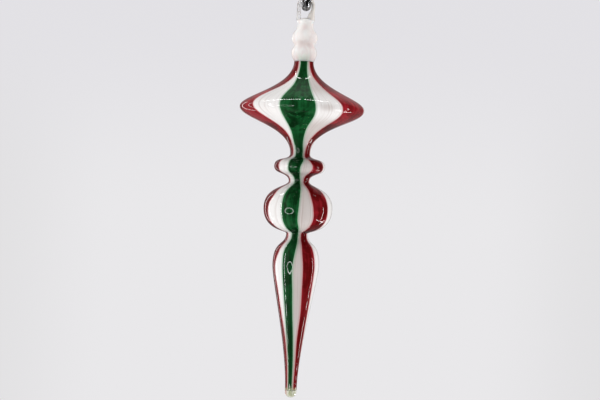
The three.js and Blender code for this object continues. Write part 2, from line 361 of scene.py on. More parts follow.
def white_glass(glaze, colours, seed, narrow_shade, shade_patch):
    """White cane: opal threads side by side, greyer where the glass between them shows. It is
    greyer still on the narrow parts of some canes and in one patch on the disc, which is painted
    shade, and tinted in a narrow band by the green or the red beside it."""
    threads = glaze.noise((15, 0.5, 1), 3, 0.6, 0.0, (0, 0, seed), glaze.skin())
    wires = glaze.noise((11, 0.35, 1), 1, 0.5, 0.0, (0, seed, 0), glaze.skin())
    lines = 1 - glaze.step(abs(wires - 0.5), 0.0, 0.035)
    veil = glaze.noise((40, 40, 16), 2, shift=(seed, 0, 0))
    # Painted shade: the narrow parts of the canes grey by each stripe's share.
    narrow = 1 - glaze.step(glaze.distance(), 20 * MM, 34 * MM)
    # Painted shade: a grey patch on the front right of the disc.
    in_shade_patch = 1 - glaze.step(glaze.distance(SHADE_PATCH_SCALE, SHADE_PATCH_SHIFT), 0.2, 1.0)
    streak_and_shade = (
        glaze.step(threads, 0.54, 0.76) * 0.4 + lines * 0.42
        + glaze.step(veil, 0.45, 0.8) * 0.18 + narrow * narrow_shade + in_shade_patch * shade_patch
    )
    colour = glaze.mix(streak_and_shade, colours.white, colours.white_streak_and_shade)
    for mark, tint, strength in WHITE_TINTS:
        beside = 1 - glaze.step(glaze.mark(mark), 0.0, WHITE_EDGE)
        colour = glaze.mix(beside * strength, colour, tint)
    return blown_glass(glaze, colour, colours.tip, seed)


def stripe_glass(glaze, colours, colour, number):
    """The glass of one stripe of a colour, each a different stretch of its pattern."""
    if colour == "green":
        return coloured_glass(glaze, colours, colours.green, colours.green_thin, 3 + 7 * number)
    if colour == "red":
        return coloured_glass(glaze, colours, colours.red, colours.red_thin, 5 + 7 * number,
                              BLOWN_THIN_RED)
    # Only the first white stripe has the patch of painted shade on the disc.
    shade_patch = WHITE_SHADE_PATCH if number == 0 else 0.0
    return white_glass(glaze, colours, 2 + 5 * number, WHITE_NARROW_SHADE[number], shade_patch)


def opal_glass(glaze, colours):
    """Milky glass with soft upright wisps, and a breath of the stripes' colours in its foot."""
    wisps = glaze.noise((210, 210, 70), 5, 0.6, 0.8)
    colour = glaze.mix(glaze.step(wisps, 0.40, 0.66), colours.opal, OPAL_WISP)
    x, y, z = (glaze.part(axis) for axis in range(3))
    turns = glaze.math("COSINE", glaze.math("ARCTAN2", x, 0 - y) * COLOURED_SETS)
    tint = glaze.mix(glaze.step(turns, -0.5, 0.5), OPAL_BY_RED, OPAL_BY_GREEN)
    run_up = 1 - glaze.step(z + 9 * MM * (wisps - 0.5), NECK_TOP, NECK_TOP + 6 * MM)
    return glaze.surface(
        Base_Color=glaze.mix(run_up * 0.3, colour, tint), Roughness=0.16, IOR=GLASS_IOR,
        Specular_IOR_Level=0.2, Coat_Weight=0.15, Coat_Roughness=0.03, Subsurface_Weight=1.0,
        Subsurface_Radius=MILK_SOAK, Subsurface_Scale=8 * MM,
        Normal=glaze.bump(glaze.noise((150, 150, 110), 2), 0.35 * MM),
    )


def eye_glass(glaze, colours):
    """Clear glass on the left that turns milky to the right, with milky flecks in the clear that
    are painted highlights, standing in for the sparkles of light on it.
    """
    swirl = glaze.noise((260, 260, 120), 2)
    side = glaze.part(0) + 4 * MM * (swirl - 0.5)
    # Painted highlights: milky flecks in the clear leg, in place of its sparkles of light.
    painted_sparkles = glaze.step(glaze.noise((900, 900, 500), 1), 0.47, 0.58) * 0.6
    milk_and_sparkles = glaze.math("MAXIMUM", glaze.step(side, -1.5 * MM, 2.5 * MM), painted_sparkles)
    bend = glaze.bump(swirl, 0.4 * MM)
    clear = glaze.surface(
        Base_Color=colours.clear, Roughness=BLOWN_ROUGHNESS, IOR=1.2, Transmission_Weight=1.0,
        Normal=bend, Alpha=0.24,
    )
    milky = glaze.surface(
        Base_Color=EYE_MILK, Roughness=0.12, IOR=GLASS_IOR, Coat_Weight=0.5,
        Subsurface_Weight=0.4, Subsurface_Radius=MILK_SOAK, Subsurface_Scale=1 * MM,
        Normal=bend,
    )
    return glaze.node("MixShader", {0: milk_and_sparkles, 1: clear, 2: milky})


def bubble_glass(glaze, colours):
    """The clear bubble under the stripes, faintly milky inside."""
    haze = glaze.step(glaze.noise((60, 60, 25), 3), 0.35, 0.8)
    colour = glaze.mix(haze, colours.clear, BUBBLE_HAZE)
    return glaze.surface(Base_Color=colour, Roughness=0.1, IOR=GLASS_IOR, Coat_Weight=0.5)


def tip_glass(glaze, colours):
    """The pale end, where the last green and white threads run together, and red at its left."""
    threads = glaze.noise((700, 700, 180), 3, 0.6, 0.6)
    colour = glaze.mix(glaze.step(threads, 0.42, 0.66), TIP_WHITE, colours.tip)
    last_red = 1 - glaze.step(glaze.part(0), -3.0 * MM, -1.9 * MM)
    return glaze.surface(
        Base_Color=glaze.mix(last_red * 0.6, colour, TIP_RED), Roughness=0.22, IOR=GLASS_IOR,
        Subsurface_Weight=0.4, Subsurface_Radius=(1.0, 1.0, 0.9), Subsurface_Scale=1 * MM,
        Normal=glaze.bump(threads, 0.15 * MM),
    )


def polished_steel(glaze, colours):
    """Dark polished steel: fine lines along the rod, duller worn patches, and pale rougher lines
    where the map's share across meets the rod's front and its two sides. The pale lines are painted
    highlights, standing in for the reflections of lamps along the rod."""
    lines = glaze.noise((60, 2, 1), 3, 0.6, vector=glaze.skin())
    patches = glaze.noise((120, 120, 60), 3)
    worn = glaze.step(patches, 0.5, 0.72)
    round_rod = glaze.part(0, glaze.skin())
    at_side = abs(abs(round_rod - 0.5) - 0.17)
    at_front = abs(round_rod - 0.53)
    # Painted highlights: pale lines along the rod's front and sides, in place of lamp reflections.
    painted_highlight_lines = 1 - glaze.step(at_side, 0.015, 0.035) * glaze.step(at_front, 0.005, 0.03)
    colour = glaze.mix(worn * 0.5 + lines * 0.2, colours.steel, WORN_STEEL)
    return glaze.surface(
        Base_Color=glaze.mix(painted_highlight_lines, colour, PAINTED_HIGHLIGHT_STEEL), Metallic=1.0,
        Roughness=0.05 + lines * 0.05 + worn * 0.08 + painted_highlight_lines * 0.4,
        Normal=glaze.bump(patches, 0.25 * MM),
    )


def along(points):
    """Distance along a run of points, from its first."""
    return np.concatenate([[0.0], np.cumsum(np.linalg.norm(np.diff(points, axis=0), axis=1))])


def unit(vector):
    return vector / np.linalg.norm(vector)


def full_turn(count):
    """So many even angles once round."""
    return np.linspace(0, 2 * np.pi, count, endpoint=False)


def respaced(points, spacing):
    """The same run with its points an even distance apart, read off straight between the old."""
    travel = along(points)
    count = max(2, int(round(travel[-1] / spacing)) + 1)
    places = np.linspace(0, travel[-1], count)
    return np.column_stack([np.interp(places, travel, column) for column in points.T])


def cubic(t, start, from_start, from_end, end):
    """A cubic curve from a start to an end, each with its handle: their mean, weighted by
    (1 - t)^3, 3 t (1 - t)^2, 3 t^2 (1 - t) and t^3."""
    return (
        (1 - t) ** 3 * start + 3 * t * (1 - t) ** 2 * from_start
        + 3 * t**2 * (1 - t) * from_end + t**3 * end
    )


def eased_outline(marks, eases, steps=200):
    """Outline through marks of (radius, height), from the top down. Between two marks it is a
    cubic curve whose ends are upright: each handle lies straight above or below its mark, at its
    ease's share of the height between the marks."""
    t = np.linspace(0, 1, steps, endpoint=False)[:, None, None]
    upper, lower = marks[:-1], marks[1:]
    drop = np.zeros_like(upper)
    drop[:, 1] = upper[:, 1] - lower[:, 1]
    curve = cubic(t, upper, upper - drop * eases[:, :1], lower + drop * eases[:, 1:], lower)
    return np.vstack([curve.transpose(1, 0, 2).reshape(-1, 2), marks[-1:]])


def drawn_in(outline, whole, depth):
    """Outline moved inwards by a depth, at its own heights: at each height the least of radius
    less sqrt(depth^2 - rise^2) over the whole outline's points within a rise of the depth."""
    rise = outline[:, 1][:, None] - whole[:, 1][None, :]
    reach = np.sqrt(np.clip(depth**2 - rise**2, 0, None))
    radius = np.where(np.abs(rise) <= depth, whole[:, 0][None, :] - reach, np.inf).min(axis=1)
    return np.column_stack([radius, outline[:, 1]])


def round_axis(run, angle):
    """Points (radius sin a, -radius cos a, height), for each (radius, height) of a run and the
    angles of its row."""
    radius, height = run[:, :1], run[:, 1:]
    return np.stack(
        np.broadcast_arrays(radius * np.sin(angle), -radius * np.cos(angle), height), axis=2
    )


def turned(profile, columns):
    """Rings of a turned body: each point of the profile carried once round the axis."""
    return round_axis(profile, full_turn(columns)[None, :])


QUAD_STEPS = ((0, 0), (0, 1), (1, 1), (1, 0))


def skinned(name, rings, ends, across=None, marks=None):
    """A closed mesh over a grid of rings (row, place on the ring, xyz). Neighbouring rings are
    joined by four-sided faces. Its ends are closed by a fan to a pole, given as a pair of points,
    or, where ends is None, by a strip between the ring's two halves, which run opposite ways."""
    rows, columns = rings.shape[:2]
    points = rings.reshape(-1, 3)
    row, column = np.meshgrid(np.arange(rows - 1), np.arange(columns), indexing="ij")
    if across is None:
        across = np.linspace(0, 1, columns + 1)
    middle = rings[:, columns // 4] if ends is None else rings.mean(axis=1)
    travel = along(middle) * UV_PER_METRE
    faces = [np.stack([(row + down) * columns + (column + aside) % columns
                       for down, aside in QUAD_STEPS], axis=-1).reshape(-1, 4)]
    corner_uv = [np.stack([np.stack([across[column + aside], travel[row + down]], -1)
                           for down, aside in QUAD_STEPS], axis=2).reshape(-1, 2)]
    for number, (base, order) in enumerate(((0, 1), ((rows - 1) * columns, -1))):
        if ends is None:
            j = np.arange(columns // 2 - 1)
            cap = base + np.stack([j, columns - 1 - j, columns - 2 - j, j + 1], axis=1)
        else:
            j = np.arange(columns)
            pole = np.full(columns, rows * columns + number)
            cap = np.stack([pole, base + (j + 1) % columns, base + j], axis=1)
        faces.append(cap[:, ::order])
        corner_uv.append(np.zeros((cap.size, 2)))
    if ends is not None:
        points = np.vstack([points, ends])
    corners = np.concatenate([part.ravel() for part in faces])
    sizes = np.concatenate([np.full(len(part), part.shape[1]) for part in faces])
    starts = np.concatenate([[0], np.cumsum(sizes)[:-1]])
    mesh = bpy.data.meshes.new(name)
    mesh.vertices.add(len(points))
    mesh.vertices.foreach_set("co", points.astype(np.float32).ravel())
    mesh.loops.add(len(corners))
    mesh.loops.foreach_set("vertex_index", corners.astype(np.int32))
    mesh.polygons.add(len(sizes))
    mesh.polygons.foreach_set("loop_start", starts.astype(np.int32))
    mesh.update(calc_edges=True)
    layer = mesh.uv_layers.new(name=UV_NAME)
    layer.data.foreach_set("uv", np.vstack(corner_uv).astype(np.float32).ravel())
    for mark_name, values in (marks or {}).items():
        kept = mesh.attributes.new(mark_name, "FLOAT", "POINT")
        filled = np.zeros(len(points), np.float32)
        filled[: values.size] = values.ravel()
        kept.data.foreach_set("value", filled)
    shape = bmesh.new()
    shape.from_mesh(mesh)
    if shape.calc_volume(signed=True) < 0:
        mesh.flip_normals()
    shape.free()
    mesh.validate()
    mesh.polygons.foreach_set("use_smooth", np.ones(len(mesh.polygons), bool))
    mesh.set_sharp_from_angle(angle=SHARP_ANGLE)
    piece = bpy.data.objects.new(name, mesh)
    bpy.context.scene.collection.objects.link(piece)
    return piece


def dress(piece, recipe, body, nodes, slot, *values):
    """Gives a piece its material, by a recipe, and its place in the frame, for its nodes."""
    colours = bpy.context.scene.finial_colours
    piece.data.materials.append(new_material(piece.name, recipe, colours, *values))
    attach(piece, body)
    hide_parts(*nodes)


def hide_from(piece, *rays):
    """Hides a piece or a lamp from some kinds of ray."""
    for ray in rays:
        setattr(piece, f"visible_{ray}", False)


def rod_rings(path, radii, normal, columns):
    """Rings of a round rod along a flat path: at each point a circle of its radius, spanned by the
    plane's normal and by the direction square to both the path and the normal."""
    heading = np.gradient(path, axis=0)
    heading /= np.linalg.norm(heading, axis=1)[:, None]
    outward = np.cross(heading, normal)
    angle = full_turn(columns)[None, :, None]
    spoke = np.cos(angle) * outward[:, None, :] + np.sin(angle) * np.asarray(normal)
    return path[:, None, :] + radii[:, None, None] * spoke


def arc(centre, radius, start, end, steps=60):
    """Points on part of a circle, from one angle to another."""
    angle = np.linspace(start, end, steps)
    return np.column_stack([centre[0] + radius * np.cos(angle), centre[1] + radius * np.sin(angle)])


def hook_path(sizes):
    """The middle of the hook's rod as (y, z): up from the lower tip, half round the lower bend,
    along a shank that is one cubic curve, half round the upper bend, and down to the upper tip."""
    radius = sizes.rod_diameter / 2
    lower, upper = sizes.lower_bend_radius, sizes.upper_bend_radius
    low_centre = low("steel_hook", 2) + radius + lower
    high_centre = high("steel_hook", 2) - radius - upper
    middle = (low_centre + high_centre) / 2
    t = np.linspace(0, 1, 120)[1:-1, None]
    shank = cubic(t, [-lower, low_centre], [-lower, middle], [upper, middle], [upper, high_centre])
    return np.vstack([
        [[lower, low_centre + sizes.lower_tip_length]],
        arc((0, low_centre), lower, 0, -np.pi),
        shank,
        arc((0, high_centre), upper, 0, np.pi),
        [[-upper, high_centre - sizes.upper_tip_length]],
    ])


class FINIAL_OT_hook(bpy.types.Operator):
    """Add the polished steel S-hook that the ornament hangs on"""

    bl_idname = "finial.hook"
    bl_label = "Steel Hook"

    def execute(self, context):
        sizes = context.scene.finial_hook
        radius = sizes.rod_diameter / 2
        flat = respaced(hook_path(sizes), 0.5 * MM)
        path = np.column_stack([np.zeros(len(flat)), flat])
        rings = rod_rings(path, np.full(len(path), radius), (1.0, 0.0, 0.0), 40)
        domes, poles = [], []
        for tip, before in ((0, 1), (-1, -2)):
            outward = unit(path[tip] - path[before])
            domes.append(domed(rings[tip], path[tip], outward, radius))
            poles.append(path[tip] + radius * outward)
        rings = np.concatenate([domes[0][::-1], rings, domes[1]])
        piece = skinned("hook_rod", rings, poles)
        dress(piece, polished_steel, "hook", ["steel_hook"], "polished_steel")
        return {"FINISHED"}


def domed(ring, centre, outward, radius):
    """Rings of a half ball beyond a ring: for each angle the ring shrunk by its cosine and moved
    outward by the radius times its sine."""
    angles = np.linspace(0, np.pi / 2, 12)[1:-1, None, None]
    return centre + (ring - centre) * np.cos(angles) + outward * radius * np.sin(angles)


# The eye's feet lap this far into the stem, its legs swell over this height, which starts this
# far under the middle of its bend.
EYE_LAP, SWELL_HEIGHT, SWELL_DROP = 0.3 * MM, 6.0 * MM, 1.2 * MM


class FINIAL_OT_eye(bpy.types.Operator):
    """Add the bent glass rod that goes round the hook"""

    bl_idname = "finial.eye"
    bl_label = "Glass Eye"

    def execute(self, context):
        sizes = context.scene.finial_eye
        rod = sizes.rod_diameter / 2
        bend = high("glass_eye", 0) - rod
        top_centre = high("glass_eye", 2) - rod - bend
        foot = STEM_TOP - EYE_LAP
        flat = np.vstack([[[-bend, foot]], arc((0, top_centre), bend, np.pi, 0), [[bend, foot]]])
        flat = respaced(flat, 0.12 * MM)
        fall = np.clip((top_centre - SWELL_DROP - flat[:, 1]) / SWELL_HEIGHT, 0, 1)
        gain = np.where(flat[:, 0] < 0, sizes.clear_swell, sizes.milky_swell)
        swell = gain * (3 * fall**2 - 2 * fall**3)
        path = np.column_stack([flat[:, 0], np.zeros(len(flat)), flat[:, 1]])
        path[:, 0] -= np.sign(path[:, 0]) * swell
        rings = rod_rings(path, rod + swell, (0.0, 1.0, 0.0), 28)
        rings[[0, -1], :, 2] = foot
        piece = skinned("eye_loop", rings, [path[0], path[-1]])
        dress(piece, eye_glass, "ornament", ["glass_eye"], "clear_glass")
        return {"FINISHED"}


# The two eases of each stretch of the stem and of the body, from the top down.
STEM_EASES = np.array([[0.4, 0.5], [0.45, 0.45], [0.6, 0.35], [0.35, 0.6], [0.6, 0.2]])
BODY_EASES = np.array([
    [0.57, 0.25], [0.31, 0.63], [0.57, 0.82], [0.62, 0.62],
    [0.21, 0.79], [0.93, 0.1], [0.41, 0.8], [0.13, 0.35],
])
# The low mound on top of the stem, from its pole out, in millimetres from the stem's top.
MOUND_TOP = 1.4
MOUND = np.array([[1.4, 1.3], [2.6, 0.85], [3.6, 0.35], [4.5, 0.1], [5.1, -0.1], [5.4, -0.4]])


def stem_outline(sizes):
    """The stem's side, from its collar down to its foot."""
    radii = [
        sizes.collar_radius, sizes.collar_waist_radius, sizes.upper_bead_radius,
        sizes.waist_radius, sizes.lower_bead_radius, sizes.foot_radius,
    ]
    falls = [
        0, sizes.collar_length, sizes.upper_bead_shoulder, sizes.upper_bead_fall,
        sizes.lower_bead_rise, sizes.lower_bead_fall,
    ]
    marks = np.column_stack([radii, STEM_TOP - np.cumsum(falls)])
    return respaced(eased_outline(marks, STEM_EASES), 0.25 * MM)


class FINIAL_OT_stem(bpy.types.Operator):
    """Add the opal stem with its collar, two beads and plug"""

    bl_idname = "finial.stem"
    bl_label = "Opal Stem"

    def execute(self, context):
        sizes = context.scene.finial_stem
        outside = stem_outline(sizes)
        crown = MOUND * MM + [0, STEM_TOP]
        side = outside[outside[:, 1] < crown[-1, 1]]
        plug = np.array([[sizes.plug_radius, outside[-1, 1]], [sizes.plug_radius, STEM_PLUG_END]])
        rings = turned(np.vstack([crown, side, respaced(plug, 0.5 * MM)]), 96)
        angle = np.arctan2(rings[..., 0], -rings[..., 1])
        depth = (STEM_TOP - rings[..., 2]) / MM
        lump = np.sin(2 * angle + depth * 0.23) * 0.5 + np.sin(3 * angle - depth * 0.31 + 1.0) * 0.5
        rings[..., :2] *= (1 - 0.007 * (1 + lump))[..., None]
        poles = [(0, 0, STEM_TOP + MOUND_TOP * MM), (0, 0, STEM_PLUG_END)]
        piece = skinned("stem_opal", rings, poles)
        dress(piece, opal_glass, "ornament", ["opal_stem"], "opal_glass")
        hide_from(piece, "glossy")
        return {"FINISHED"}


def body_marks(body):
    """Radius and height of the body at each neck and bulge, from the neck to the drop's end."""
    radii = [
        body.neck_radius, body.disc_radius, body.disc_neck_radius, body.saucer_radius,
        body.saucer_neck_radius, body.ball_radius, body.ball_neck_radius, body.bulb_radius,
        body.drop_end_radius,
    ]
    falls = [
        0, body.flare_height, body.under_disc_height, body.saucer_top_height,
        body.saucer_under_height, body.ball_top_height, body.ball_under_height,
        body.bulb_top_height,
    ]
    return np.column_stack([radii, np.append(NECK_TOP - np.cumsum(falls), DROP_END)])


def body_outline(body):
    """The body's outline twice: in even steps for its rows, and in finer ones to measure from."""
    whole = eased_outline(body_marks(body), BODY_EASES, 300)
    return respaced(whole, 0.55 * MM), whole


# Where the stripes of the front set meet. A row stands at a mark of the body, or at a share of the
# way from it to the next: 0 is the neck, 1 the disc and so on down to the drop's end. In degrees
# from the front come the green's two edges, the red's two edges, and the right edge of the red
# that shows at the left. The same set lies three times round the body.
STRIPE_EDGES = np.array([
    [0.00, -19, 21, 38, 88, -32],
    [0.25, -19, 16, 36, 88, -31],
    [0.50, -18, 13, 37, 82, -40],
    [0.75, -20, 11, 36, 78, -50],
    [1.00, -20, 12, 39, 77, -50],
    [1.25, -20, 13, 43, 90, -44],
    [1.50, -23, 10, 42, 90, -40],
    [1.75, -30, 10, 37, 67, -43],
    [2.00, -26, 14, 28, 70, -46],
    [2.50, -25, 9, 25, 65, -54],
    [3.00, -26, 2, 31, 66, -54],
    [3.50, -27, 1, 28, 65, -57],
    [4.00, -25, 5, 26, 68, -60],
    [4.50, -27, 3, 23, 58, -52],
    [5.00, -27.5, 1, 26, 58, -59],
    [5.50, -27, 0, 28, 60, -60],
    [6.00, -26, 5, 23, 61, -54],
    [6.50, -34, -2, 16, 52, -52],
    [7.00, -34, -8, 18, 53, -62],
    [7.20, -34, -7, 21, 56, -58],
    [7.40, -34, -5, 25, 61, -53],
    [7.60, -33, 1, 22, 67, -44],
    [7.80, -30, 7, 26, 75, -40],
    [8.00, -28, 8, 24, 88, -41],
])
# How the edges of the sets behind stray from the front's.
WANDER = math.radians(1.4)
WANDER_PHASES = np.array([0.3, 1.9, 3.4, 5.2])
WANDER_LENGTH = 31 * MM


def smooth_through(places, marks, values):
    """Values on a curve through marks, with the slope at each mark the mean of its neighbours'
    slopes and cubic stretches between them, along falling places."""
    slopes = np.gradient(values, marks, axis=0)
    index = np.clip(np.searchsorted(-marks, -places, side="right") - 1, 0, len(marks) - 2)
    span = (marks[index + 1] - marks[index])[:, None]
    t = (places - marks[index])[:, None] / span
    here, there = values[index], values[index + 1]
    handles = here + span / 3 * slopes[index], there - span / 3 * slopes[index + 1]
    return cubic(t, here, *handles, there)


def all_edges(body, heights):
    """Angles of all twelve edges round the body at each height, in radians, anticlockwise from
    the front green's left. The two sets behind wander a little from the front one: by a sine of
    the depth below the neck, with its own phase for each edge."""
    marks = body_marks(body)[:, 1]
    places = np.interp(STRIPE_EDGES[:, 0], np.arange(len(marks)), marks)
    front = np.radians(smooth_through(heights, places, STRIPE_EDGES[:, 1:]))
    fall = (NECK_TOP - heights)[:, None]
    sets = []
    for number in range(COLOURED_SETS):
        phase = WANDER_PHASES + 2.1 * number
        wander = WANDER * np.sin(fall / WANDER_LENGTH + phase) * (number > 0)
        sets.append(front[:, :4] + wander + 2 * np.pi * number / COLOURED_SETS)
    sets[-1][:, 3] = front[:, 4] + 2 * np.pi
    return np.hstack(sets)


def stripe_piece(name, body, layers, start, end, neighbours):
    """One stripe: at each height an arc of the outline between its two edges, and the same arc a
    wall's depth further in, joined into a closed ring. Its points keep their distance from each
    neighbour, or from the nearer edge if no neighbours are named."""
    outline, inner = layers
    joint = body.stripe_joint / 2 / outline[:, 0]
    share = np.linspace(0, 1, 25)[None, :]
    angle = (start + joint)[:, None] + ((end - start) - 2 * joint)[:, None] * share
    rings = np.hstack([round_axis(outline, angle), round_axis(inner, angle)[:, ::-1]])
    width = ((end - start) * outline[:, 0])[:, None]
    from_left, from_right = width * share, width * (1 - share)
    if neighbours is None:
        marks = {"from_edge": np.minimum(from_left, from_right)}
    else:
        marks = {f"from_{neighbours[0]}": from_left, f"from_{neighbours[1]}": from_right}
    marks = {mark: np.hstack([values, values[:, ::-1]]) for mark, values in marks.items()}
    across = np.concatenate([share[0], share[0, ::-1], [0]])
    return skinned(name, rings, None, across, marks)


# Each colour's stripes: how many, the place of the first, and the step to the next. The places are
# counted round the body from the front green: in each set green, white, red and white.
STRIPES = {"green": (3, 0, 4), "red": (3, 2, 4), "white": (6, 1, 2)}


class FINIAL_OT_stripes(bpy.types.Operator):
    """Add the dark green, deep red and white stripes"""

    bl_idname = "finial.stripes"
    bl_label = "Stripes"

    def execute(self, context):
        body = context.scene.finial_body
        outline, whole = body_outline(body)
        layers = outline, drawn_in(outline, whole, body.stripe_wall)
        edges = all_edges(body, outline[:, 1])
        total = edges.shape[1]
        for colour, (count, first, every) in STRIPES.items():
            for number in range(count):
                place = first + every * number
                end = edges[:, (place + 1) % total] + (2 * np.pi if place == total - 1 else 0)
                neighbours = None
                if colour == "white":
                    neighbours = ("green", "red") if place % 4 == 1 else ("red", "green")
                name = f"{colour}_band_{number + 1}"
                piece = stripe_piece(name, body, layers, edges[:, place], end, neighbours)
                node = f"{colour}_stripe_{number + 1}"
                dress(piece, stripe_glass, "ornament", [node], f"{colour}_glass", colour, number)
                hide_from(piece, "glossy")
        return {"FINISHED"}


class FINIAL_OT_bubble(bpy.types.Operator):
    """Add the hollow bubble under the stripes"""

    bl_idname = "finial.bubble"
    bl_label = "Inner Bubble"

    def execute(self, context):
        body = context.scene.finial_body
        outline, whole = body_outline(body)
        depth = body.stripe_wall + body.layer_gap
        outside = drawn_in(outline, whole, depth)
        inside = drawn_in(outline, whole, depth + body.bubble_wall)
        hollow_end = DROP_END + body.solid_end
        inside = inside[inside[:, 1] > hollow_end]
        floor = np.array([[0.6, -0.5], [0.25, -0.9]]) * inside[-1, 0] + [0, inside[-1, 1]]
        profile = np.vstack([outside[::-1], inside, floor])
        ends = [(0, 0, outside[-1, 1]), (0, 0, floor[-1, 1] - 0.1 * MM)]
        piece = skinned("bubble_glass", turned(profile, 96), ends)
        dress(piece, bubble_glass, "ornament", ["inner_bubble"], "clear_glass")
        return {"FINISHED"}


class FINIAL_OT_tip(bpy.types.Operator):
    """Add the pale tip that closes the drop"""

    bl_idname = "finial.tip"
    bl_label = "Glass Tip"

    def execute(self, context):
        top, bottom = high("glass_tip", 2), low("glass_tip", 2)
        radius = high("glass_tip", 0)
        side = cubic(
            np.linspace(0, 1, 40)[1:, None], [0, bottom], [radius * 0.7, bottom],
            [radius, bottom + 0.4 * (top - bottom)], [radius, top],
        )
        piece = skinned("tip_glass", turned(side, 64), [(0, 0, bottom), (0, 0, top)])
        dress(piece, tip_glass, "ornament", ["glass_tip"], "tip_glass")
        return {"FINISHED"}


def toward(azimuth, elevation=0):
    """Direction from the ornament, by its angle from the front towards +X and its height."""
    a, e = math.radians(azimuth), math.radians(elevation)
    return np.array([math.sin(a) * math.cos(e), -math.cos(a) * math.cos(e), math.sin(e)])


def tube_spot(azimuth, elevation=0, rise=0):
    """A place 0.5 m from the centre of the view, by its direction, and so much higher."""
    return toward(azimuth, elevation) * 0.5 + [0, 0, rise]


# The soft lamps: place and power in watts.
SOFT_LAMP_SIZE = 0.6
SOFT_LAMPS = {
    "left_lamp": ((-0.84, -0.24, -0.24), 2.2),
    "right_lamp": ((0.84, 0.10, -0.18), 2.45),
    "top_lamp": ((-0.15, -0.30, 0.70), 1.6),
}
# The glows of the lamp tubes: strength, and the pitch of their row of points, if they have one.
TUBE_GLOWS = {
    "strip_glow": (36.0, 12 * MM),
    "side_glow": (5.0, None),
    "top_glow": (44.0, 19 * MM),
    "top_end_glow": (16.0, 60 * MM),
}
# The lamp tubes: start and end from the centre of the view, radius and glow.
LAMP_TUBES = {
    "left_strip": (tube_spot(-58, 0, -0.34), tube_spot(-58, 0, 0.22), 0.006, "strip_glow"),
    "right_strip": ((0.50, 0.00, 0.04), (0.44, 0.07, -0.27), 0.006, "strip_glow"),
    "foot_strip": ((0.41, -0.08, -0.34), (0.41, 0.20, -0.31), 0.006, "strip_glow"),
    "far_right_strip": (tube_spot(119, -26), tube_spot(122, -42), 0.008, "strip_glow"),
    "far_left_strip": (tube_spot(-139, 0, -0.34), tube_spot(-139, 0, 0.30), 0.012, "side_glow"),
    "near_left_strip": (tube_spot(-111, 0, -0.34), tube_spot(-111, 0, 0.30), 0.012, "side_glow"),
    "top_strip": ((-0.45, 0.10, 0.55), (0.28, 0.10, 0.55), 0.008, "top_glow"),
    "top_strip_end": ((0.29, 0.10, 0.55), (0.42, 0.10, 0.55), 0.008, "top_end_glow"),
}


def lamp_light(glaze, strength, pitch=None):
    """Light of a lamp tube, broken into a row of points if a pitch in metres is given."""
    colour = (1, 1, 1)
    if pitch is not None:
        phase = glaze.math("FRACT", glaze.part(1, glaze.skin()) * (1 / UV_PER_METRE / pitch))
        colour = glaze.mix(glaze.step(phase, 0.35, 0.45), (0, 0, 0), (1, 1, 1))
    return glaze.node("Emission", {"Color": colour, "Strength": strength})


def glow(name, *light):
    material = new_material(name, lamp_light, *light)
    material.cycles.emission_sampling = "NONE"
    return material


def reflected_only(piece, material):
    """Stage piece that shows only in gloss."""
    piece.data.materials.append(material)
    hide_from(piece, "camera", "diffuse", "transmission", "shadow")


def soft_lamp(name, place, target, power):
    """A large soft lamp that gloss doesn't see."""
    lamp = bpy.data.objects.new(name, bpy.data.lights.new(name, "AREA"))
    bpy.context.scene.collection.objects.link(lamp)
    lamp.data.shape = "DISK"
    lamp.data.size = SOFT_LAMP_SIZE
    lamp.data.energy = power
    hide_from(lamp, "glossy", "camera")
    lamp.location = place
    lamp.rotation_mode = "QUATERNION"
    lamp.rotation_quaternion = (Vector(target) - Vector(place)).to_track_quat("-Z", "Y")


def lamp_tube(name, start, end, radius, material):
    """A straight lamp tube from one place to another."""
    path = respaced(np.array([start, end]), 10 * MM)
    normal = unit(np.cross(end - start, (0.3, 0.8, 0.5)))
    rings = rod_rings(path, np.full(len(path), radius), normal, 10)
    reflected_only(skinned(name, rings, [path[0], path[-1]]), material)


def add_ring_lamp(centre):
    """The round lamp in front, to the left and below: a flattened circle of small circles."""
    out = toward(-29, -11)
    side = unit(np.cross(out, (0, 0, 1)))
    rise = np.cross(side, out)
    radius, tube = 0.125, 0.008
    angle = np.linspace(0, 2 * np.pi, 97)[:, None]
    spoke = np.cos(angle) * side + np.sin(angle) * rise * 0.8
    small = full_turn(12)[None, :, None]
    place = centre + out * 0.52
    rings = place + spoke[:, None] * (radius + tube * np.cos(small)) + out * tube * np.sin(small)
    piece = skinned("ring_lamp", rings, [rings[0].mean(0), rings[-1].mean(0)])
    reflected_only(piece, glow("ring_glow", 14.0))


def add_stem_shade(sizes):
    """A dimly glowing grey core in the stem that only gloss sees: a painted reflection in place of
    the stem, which gloss doesn't see, and it hides the top lamp from the neck below.
    """
    core = stem_outline(sizes) * [0.93, 1.0]
    piece = skinned("stem_shade", turned(core, 48), [(0, 0, core[0, 1]), (0, 0, core[-1, 1])])
    reflected_only(piece, glow("shade_glow", 0.22))


def floor_paper(glaze, radius):
    """Pale paper that fades out from a fifth of the floor's radius to three fifths of it, and
    doesn't show from below."""
    grain = glaze.noise((400, 400, 400), 3)
    colour = glaze.mix(grain * 0.15, (0.72, 0.715, 0.73), (0.66, 0.66, 0.67))
    paper = glaze.surface(Base_Color=colour, Roughness=0.7)
    clear = glaze.node("BsdfTransparent")
    fade = glaze.step(glaze.distance(), 0.2 * radius, 0.6 * radius)
    facing = glaze.part(2, glaze.node("NewGeometry", output="Normal"))
    fade = glaze.math("MAXIMUM", fade, glaze.math("LESS_THAN", facing, 0.0))
    return glaze.node("MixShader", {0: fade, 1: paper, 2: clear})


